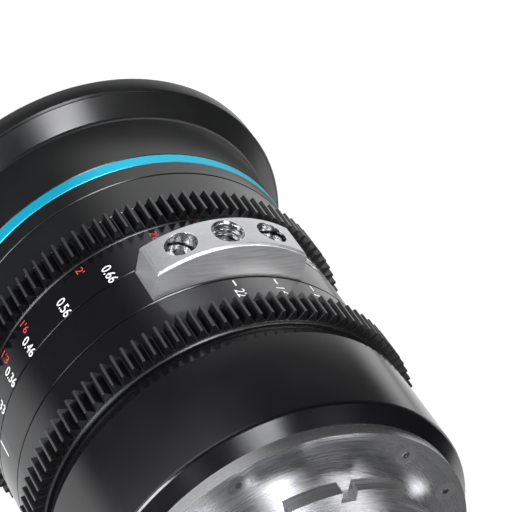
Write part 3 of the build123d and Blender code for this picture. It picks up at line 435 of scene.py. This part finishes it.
def inner_black():
    """Matt black of the inner cells, with fine light-trap ridges."""
    material, shader = start_material("inner_black")
    place, turned = turned_place(material)
    ridges = add_node(material, "ShaderNodeTexWave", {"Vector": turned, "Scale": 320.0, "Distortion": 0.0},
                      bands_direction="Z").outputs[1]
    fine = noise(material, place, 2500.0)
    link(material, colour_mix(material, fine, (0.004, 0.004, 0.004), (0.010, 0.010, 0.011)),
         shader.inputs["Base Color"])
    link(material, spread(material, fine, 0.62, 0.74), shader.inputs["Roughness"])
    shader.inputs["Specular IOR Level"].default_value = 0.25
    grain(material, shader, ridges, 0.5, 0.1 * MM)
    return material


def blade_black():
    """Dry black coating of the iris blades."""
    material, shader = start_material("blade_black")
    fine = noise(material, place_parts(material)[0], 3000.0)
    link(material, colour_mix(material, fine, (0.030, 0.030, 0.032), (0.055, 0.055, 0.058)),
         shader.inputs["Base Color"])
    link(material, spread(material, fine, 0.38, 0.5), shader.inputs["Roughness"])
    return material


def coated_glass():
    """Optical glass with a violet coating that reflects little."""
    material, shader = start_material("coated_glass")
    sheen = noise(material, place_parts(material)[0], 25.0)
    link(material, colour_mix(material, spread(material, sheen, 0.0, 1.0), (0.97, 0.99, 0.98), (0.99, 0.98, 1.0)),
         shader.inputs["Base Color"])
    shader.inputs["Transmission Weight"].default_value = 1.0
    shader.inputs["Roughness"].default_value = 0.01
    shader.inputs["IOR"].default_value = 1.52
    shader.inputs["Specular Tint"].default_value = (0.17, 0.10, 0.34, 1.0)
    return material


def paint(name, colour):
    """Matt enamel that fills the engraved figures."""
    material, shader = start_material(name)
    clouds = noise(material, place_parts(material)[0], 900.0, 3.0)
    link(material, colour_mix(material, spread(material, clouds, 0.0, 1.0), scaled(colour, 0.9), colour),
         shader.inputs["Base Color"])
    link(material, spread(material, clouds, 0.45, 0.6), shader.inputs["Roughness"])
    return material


def seen_rays(material):
    """1 for rays from the camera, off a glossy surface or through glass, and 0 for light that falls on a thing."""
    rays = add_node(material, "ShaderNodeLightPath").outputs
    return calculate(material, "MAXIMUM", rays["Is Camera Ray"],
                     calculate(material, "MAXIMUM", rays["Is Glossy Ray"], rays["Is Transmission Ray"]))


def flag_felt(name, tone):
    """Grey felt of the flags."""
    material, shader = start_material(name)
    fibres = noise(material, place_parts(material)[0], 250.0, 4.0)
    link(material, colour_mix(material, spread(material, fibres, 0.0, 1.0), (tone * 0.75,) * 3, (tone,) * 3),
         shader.inputs["Base Color"])
    shader.inputs["Roughness"].default_value = 0.95
    shader.inputs["Specular IOR Level"].default_value = 0.1
    return material


def flag_net():
    """Dark net, seen only in reflections, that lies on the floor round the lens, thins out at its edges and paints a
    contact shadow round the lens.
    """
    material = flag_felt("flag_net", NET_TONE)
    shader = material.node_tree.nodes["Principled BSDF"]
    place, x, y = place_parts(material)[:3]
    radius = add_node(material, "ShaderNodeVectorMath", {0: place}, operation="LENGTH").outputs["Value"]
    turn = calculate(material, "ARCTAN2", y, x)
    open_right = spread(material, turn, 0.0, 1.0, *NET_TURN, smooth=True)
    before = spread(material, radius, 0.0, 1.0, *NET_BEFORE, smooth=True)
    after = spread(material, radius, 1.0, 0.0, *NET_AFTER, smooth=True)
    net = calculate(material, "MULTIPLY_ADD", open_right, calculate(material, "SUBTRACT", after, before), before)
    edge = calculate(material, "MULTIPLY_ADD", open_right, NET_END_SHIFT, y)
    net = calculate(material, "MULTIPLY", net, spread(material, edge, 1.0, 0.0, *NET_END, smooth=True))
    # Painted contact shadow: a dark ring on the floor round the lens, seen only in reflections
    painted_contact_shadow = calculate(material, "MULTIPLY", spread(material, radius, 1.0, 0.0, *CONTACT_SHADOW_EDGE, smooth=True),
                     spread(material, y, 1.0, 0.0, *CONTACT_SHADOW_END, smooth=True))
    share = calculate(material, "MULTIPLY", calculate(material, "MAXIMUM", net, painted_contact_shadow),
                      spread(material, radius, 0.0, 1.0, *RING_START))
    link(material, share, shader.inputs["Alpha"])
    return material


def floor_paper():
    """Pale paper floor that shows white where no shadow falls, and lets the front be seen from below."""
    material, shader = start_material("floor_paper")
    place, x, y = place_parts(material)[:3]
    fibres = noise(material, place, 350.0, 4.0)
    link(material, colour_mix(material, spread(material, fibres, 0.0, 1.0), (0.60, 0.60, 0.60), (0.62, 0.62, 0.62)),
         shader.inputs["Base Color"])
    link(material, spread(material, fibres, 0.8, 0.95), shader.inputs["Roughness"])
    shader.inputs["Specular IOR Level"].default_value = 0.1
    shader.inputs["Emission Color"].default_value = (1.0, 1.0, 1.0, 1.0)
    glow = spread(material, distance(material, x, y), *FLOOR_GLOW, *FLOOR_GLOW_SPAN)
    link(material, calculate(material, "MULTIPLY", seen_rays(material), glow), shader.inputs["Emission Strength"])
    below = add_node(material, "ShaderNodeNewGeometry").outputs["Backfacing"]
    clear = add_node(material, "ShaderNodeBsdfTransparent").outputs[0]
    sides = add_node(material, "ShaderNodeMixShader", {0: below, 1: shader.outputs[0], 2: clear})
    link(material, sides.outputs[0], material.node_tree.nodes["Material Output"].inputs["Surface"])
    return material


def set_world():
    """White surroundings that light the lens softly and that reflections show too."""
    world = bpy.context.scene.world or bpy.data.worlds.new("studio")
    bpy.context.scene.world = world
    world.use_nodes = True
    background = world.node_tree.nodes["Background"]
    background.inputs["Color"].default_value = (1.0, 1.0, 1.0, 1.0)
    strength = add_node(world, "ShaderNodeMix", {0: seen_rays(world), 2: SKY_LIGHT, 3: SKY_SEEN}, data_type="FLOAT")
    link(world, strength.outputs[0], background.inputs["Strength"])


# Making pieces
def deselect():
    """Leaves edit mode with nothing selected, so that an operator acts on the new piece alone."""
    if bpy.context.object and bpy.context.object.mode != "OBJECT":
        bpy.ops.object.mode_set(mode="OBJECT")
    bpy.ops.object.select_all(action="DESELECT")


def select_only(*pieces):
    """Selects these pieces and makes the first one active."""
    deselect()
    for piece in pieces:
        piece.select_set(True)
    bpy.context.view_layer.objects.active = pieces[0]


def join(pieces):
    """Makes one object of several."""
    select_only(*pieces)
    if len(pieces) > 1:
        bpy.ops.object.join()
    return bpy.context.object


def finish_piece(piece, name, body, material):
    """Puts a finished piece's place into its mesh, names it, paints it and lets it ride."""
    select_only(piece)
    bpy.ops.object.transform_apply(location=True, rotation=True, scale=True)
    bpy.context.scene.cursor.location = (0, 0, 0)
    bpy.ops.object.origin_set(type="ORIGIN_CURSOR")
    piece.name = name
    piece.data.name = name
    piece.data.materials.clear()
    piece.data.materials.append(material)
    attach(piece, body)
    deselect()
    return piece


def text_length(text, digit):
    """Length of a figure whose points and marks take half a digit."""
    return digit * sum(0.5 if sign in ".'" else 1.0 for sign in text)


def figure(text, angle, radius, near_z, length, height, proud):
    """Raised figures on the barrel that read along the lens axis from near_z."""
    deselect()
    bpy.ops.object.text_add(location=(0, 0, 0))
    piece = bpy.context.object
    piece.data.body = text
    piece.data.resolution_u = 4
    piece.data.extrude = 0.02
    bpy.ops.object.convert(target="MESH")
    points = [vertex.co for vertex in piece.data.vertices]
    low = Vector([min(point[axis] for point in points) for axis in range(3)])
    high = Vector([max(point[axis] for point in points) for axis in range(3)])
    middle = (low + high) / 2
    size = high - low
    piece.data.transform(Matrix.Translation((-low.x, -middle.y, -high.z)))
    piece.scale = (length / size.x, height / size.y, 2 * proud / size.z)
    turn = foot_angle(angle)
    piece.rotation_euler = (math.pi, -math.pi / 2, turn)
    piece.location = ((radius + proud) * math.cos(turn), (radius + proud) * math.sin(turn), near_z)
    return piece


def line(angle, radius, rear_z, front_z, width, proud):
    """Raised line on the barrel along the lens axis, with rounded ends."""
    deselect()
    bpy.ops.mesh.primitive_plane_add(size=1, location=(0, 0, 0))
    piece = bpy.context.object
    piece.scale = (rear_z - front_z, width, 1)
    bpy.ops.object.transform_apply(scale=True)
    bpy.ops.object.mode_set(mode="EDIT")
    bpy.ops.mesh.select_all(action="SELECT")
    bpy.ops.mesh.bevel(offset=width * 0.3, segments=3, affect="VERTICES")
    bpy.ops.mesh.select_all(action="SELECT")
    bpy.ops.mesh.extrude_region_move(TRANSFORM_OT_translate={"value": (0, 0, -2 * proud)})
    bpy.ops.mesh.select_all(action="SELECT")
    bpy.ops.mesh.normals_make_consistent(inside=False)
    bpy.ops.object.mode_set(mode="OBJECT")
    turn = foot_angle(angle)
    piece.rotation_euler = (math.pi, -math.pi / 2, turn)
    piece.location = ((radius + proud) * math.cos(turn), (radius + proud) * math.sin(turn), (rear_z + front_z) / 2)
    return piece


def thread_ridge(radius, depth, pitch, turns, steps):
    """Helical ridge that stands inwards from a bore, about the Z axis from the origin upwards."""
    deselect()
    bpy.ops.mesh.primitive_plane_add(size=1, location=(0, 0, 0))
    piece = bpy.context.object
    for vertex in piece.data.vertices:
        upwards = 1 if vertex.co.y > 0 else -1
        if vertex.co.x > 0:
            vertex.co = (radius + THREAD_ROOT_DEPTH, 0, upwards * THREAD_ROOT * pitch)
        else:
            vertex.co = (radius - depth, 0, upwards * THREAD_CREST * pitch)
    bpy.ops.object.mode_set(mode="EDIT")
    bpy.ops.mesh.select_all(action="SELECT")
    bpy.ops.mesh.delete(type="ONLY_FACE")
    bpy.ops.object.mode_set(mode="OBJECT")
    screw = piece.modifiers.new("screw", "SCREW")
    screw.screw_offset = pitch
    screw.iterations = turns
    screw.steps = screw.render_steps = steps
    bpy.ops.object.modifier_apply(modifier="screw")
    bpy.ops.object.mode_set(mode="EDIT")
    bpy.ops.mesh.select_all(action="SELECT")
    bpy.ops.mesh.remove_doubles(threshold=1e-7)
    bpy.ops.mesh.select_all(action="SELECT")
    bpy.ops.mesh.fill_holes(sides=4)
    bpy.ops.mesh.select_all(action="SELECT")
    bpy.ops.mesh.normals_make_consistent(inside=False)
    bpy.ops.object.mode_set(mode="OBJECT")
    bpy.ops.object.shade_smooth_by_angle(angle=math.radians(30))
    return piece


class LENS_OT_finish_nodes(bpy.types.Operator):
    """Gives every CAD node its finish"""

    bl_idname = "lens.finish_nodes"
    bl_label = "Finish the nodes"

    def execute(self, context):
        made = {
            "black_anodised": anodised_black("gloss_black", finishes().gloss_black, roughness=0.18, specular=0.5,
                                             bumps=0.03),
            "black_gear": gear_black(),
            "black_inner": inner_black(),
            "accent_blue": accent_blue(),
            "foot_aluminium": foot_aluminium("foot_aluminium", roughness=0.38),
            "mount_steel": turned_steel("mount_steel", (0.44, 0.44, 0.45), roughness=0.27, marks=1200.0),
            "screw_steel": turned_steel("screw_steel", (0.58, 0.58, 0.59), roughness=0.16, marks=1500.0),
            "blade_steel": blade_black(),
            "coated_glass": coated_glass(),
        }
        satin = anodised_black("satin_black", finishes().satin_black, roughness=0.24, specular=0.5, bumps=0.05)
        slots = {part["node"]: part["material_slot"] for part in frame["record"]["subparts"]}
        for name, node in frame["nodes"].items():
            node.data.materials.clear()
            node.data.materials.append(satin if name in SATIN_NODES else made[slots[name]])
        return {"FINISHED"}


class LENS_OT_focus_metres(bpy.types.Operator):
    """Fills the white distance figures of the focus scale"""

    bl_idname = "lens.focus_metres"
    bl_label = "Focus scale in metres"

    def execute(self, context):
        sizes = scales()
        pieces = []
        for text, angle in METRES:
            length = text_length(text, sizes.metre_digit)
            pieces.append(figure(text, angle, SCALE_RADIUS, SCALE_REAR - METRE_GAP - length, length,
                                 sizes.metre_height, sizes.paint_height))
        finish_piece(join(pieces), "focus_metre_figures", "focus_ring",
                     paint("white_paint", finishes().white))
        return {"FINISHED"}


class LENS_OT_focus_feet(bpy.types.Operator):
    """Fills the red distance figures of the focus scale"""

    bl_idname = "lens.focus_feet"
    bl_label = "Focus scale in feet"

    def execute(self, context):
        sizes = scales()
        pieces = []
        for text, angle in FEET:
            pieces.append(figure(text, angle, SCALE_RADIUS, SCALE_REAR - FEET_PLACE,
                                 text_length(text, sizes.feet_digit), sizes.feet_height, sizes.paint_height))
        finish_piece(join(pieces), "focus_feet_figures", "focus_ring",
                     paint("red_paint", finishes().red))
        return {"FINISHED"}


class LENS_OT_iris_scale(bpy.types.Operator):
    """Fills the stop figures and their ticks on the iris ring"""

    bl_idname = "lens.iris_scale"
    bl_label = "Iris scale"

    def execute(self, context):
        sizes = scales()
        pieces = []
        for step, text in enumerate(STOPS):
            angle = FIRST_STOP + step * STOP_STEP
            pieces.append(figure(text, angle, SCALE_RADIUS, BAND_REAR + STOP_PLACE,
                                 text_length(text, sizes.stop_digit), sizes.stop_height, sizes.paint_height))
            pieces.append(line(angle, SCALE_RADIUS, BAND_REAR + TICK_SPAN[0], BAND_REAR + TICK_SPAN[1],
                               sizes.line_width, sizes.paint_height))
        finish_piece(join(pieces), "iris_scale_figures", "iris_ring",
                     paint("white_paint_iris", finishes().white))
        return {"FINISHED"}


class LENS_OT_index_lines(bpy.types.Operator):
    """Fills the index lines of both scales on the fixed band"""

    bl_idname = "lens.index_lines"
    bl_label = "Index lines"

    def execute(self, context):
        sizes = scales()
        near, far = INDEX_SPAN
        pieces = [line(FOCUS_INDEX, SCALE_RADIUS, SCALE_REAR + far, SCALE_REAR + near, sizes.line_width,
                       sizes.paint_height),
                  line(IRIS_INDEX, SCALE_RADIUS, BAND_REAR - near, BAND_REAR - far, sizes.line_width,
                       sizes.paint_height)]
        finish_piece(join(pieces), "index_lines", "barrel",
                     paint("white_paint_index", finishes().white))
        return {"FINISHED"}


class LENS_OT_threads(bpy.types.Operator):
    """Cuts the turns of the tripod thread and the filter thread"""

    bl_idname = "lens.threads"
    bl_label = "Threads"

    def execute(self, context):
        piece = thread_ridge(*TRIPOD_THREAD)
        piece.rotation_euler = (math.pi / 2, 0, 0)
        piece.location = (0, FOOT_LOW[1] + TRIPOD_THREAD_PLACE, FOOT_MIDDLE_Z)
        finish_piece(piece, "foot_thread_turns", "barrel",
                     foot_aluminium("foot_thread_aluminium", roughness=0.3))
        piece = thread_ridge(*FILTER_THREAD)
        piece.location = (0, 0, FRONT_Z + FILTER_THREAD_PLACE)
        finish_piece(piece, "filter_thread_turns", "barrel",
                     anodised_black("filter_thread_black", finishes().gloss_black, roughness=0.3, specular=0.3,
                                    bumps=0.05))
        return {"FINISHED"}


class LENS_OT_stage(bpy.types.Operator):
    """Adds the floor, the lamps, the world and the camera"""

    bl_idname = "lens.stage"
    bl_label = "Studio"

    def execute(self, context):
        settings = context.scene.lens_stage
        deselect()
        bpy.ops.mesh.primitive_plane_add(size=settings.floor_width, location=(0, 0, FRONT_Z - FLOOR_GAP))
        floor = context.object
        floor.name = "floor"
        bpy.ops.object.mode_set(mode="EDIT")
        bpy.ops.mesh.subdivide(number_cuts=7)
        bpy.ops.object.mode_set(mode="OBJECT")
        floor.data.materials.append(floor_paper())
        floor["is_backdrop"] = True
        for name, place, size, facing, tone in FLAGS:
            deselect()
            bpy.ops.mesh.primitive_plane_add(size=1, location=place)
            flag = context.object
            flag.name = name
            flag.scale = (*size, 1)
            flag.rotation_euler = facing.to_track_quat("Z", "Y").to_euler()
            bpy.ops.object.transform_apply(location=False, rotation=True, scale=True)
            bpy.ops.object.mode_set(mode="EDIT")
            bpy.ops.mesh.subdivide(number_cuts=3)
            bpy.ops.object.mode_set(mode="OBJECT")
            flag.data.materials.append(flag_net() if tone is None else flag_felt(name, tone))
            flag.visible_camera = flag.visible_diffuse = flag.visible_shadow = False
            flag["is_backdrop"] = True
        for name, place, size, power, colour in LAMPS:
            deselect()
            bpy.ops.object.light_add(type="AREA", location=place)
            lamp = context.object
            lamp.name = name
            lamp.data.shape = "RECTANGLE"
            lamp.data.size, lamp.data.size_y = size
            lamp.data.energy = power
            lamp.data.color = colour
            lamp.rotation_euler = (LAMP_TARGET - Vector(place)).to_track_quat("-Z", "Y").to_euler()
        set_world()
        deselect()
        bpy.ops.object.camera_add(location=settings.camera_place, rotation=settings.camera_turn)
        camera = context.object
        camera.data.lens = settings.lens_length
        camera.data.sensor_width = 36.0
        camera.data.clip_start = 0.01
        context.scene.camera = camera
        context.scene.view_settings.view_transform = "Standard"
        return {"FINISHED"}


class LENS_PT_panel(bpy.types.Panel):
    """Lists the steps that dress the lens"""

    bl_label = "Cinema Prime Lens"
    bl_idname = "LENS_PT_panel"
    bl_space_type = "VIEW_3D"
    bl_region_type = "UI"
    bl_category = "Lens"

    def draw(self, context):
        for step in STEPS:
            self.layout.operator(step.bl_idname)
        for settings in (context.scene.lens_scales, context.scene.lens_finishes, context.scene.lens_stage):
            for name in settings.bl_rna.properties.keys():
                if name not in ("rna_type", "name"):
                    self.layout.prop(settings, name)


SETTINGS = (("lens_scales", LensScaleSettings), ("lens_finishes", LensFinishSettings),
            ("lens_stage", LensStageSettings))
STEPS = (LENS_OT_finish_nodes, LENS_OT_focus_metres, LENS_OT_focus_feet, LENS_OT_iris_scale, LENS_OT_index_lines,
         LENS_OT_threads, LENS_OT_stage)


def register():
    """Registers the settings, the steps and the panel."""
    for name, group in SETTINGS:
        bpy.utils.register_class(group)
        setattr(bpy.types.Scene, name, bpy.props.PointerProperty(type=group))
    for step in STEPS + (LENS_PT_panel,):
        bpy.utils.register_class(step)


def unregister():
    """Takes everything out again."""
    for step in (LENS_PT_panel,) + STEPS[::-1]:
        bpy.utils.unregister_class(step)
    for name, group in SETTINGS[::-1]:
        delattr(bpy.types.Scene, name)
        bpy.utils.unregister_class(group)


def main():
    """Dresses the lens step by step."""
    register()
    bpy.ops.lens.finish_nodes()
    bpy.ops.lens.focus_metres()
    bpy.ops.lens.focus_feet()
    bpy.ops.lens.iris_scale()
    bpy.ops.lens.index_lines()
    bpy.ops.lens.threads()
    bpy.ops.lens.stage()
    boxes = {"cad": cad_box, "visual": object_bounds()}
    boxes = {name: [[float(part) for part in corner] for corner in box] for name, box in boxes.items()}


if __name__ == "__main__":
    main()
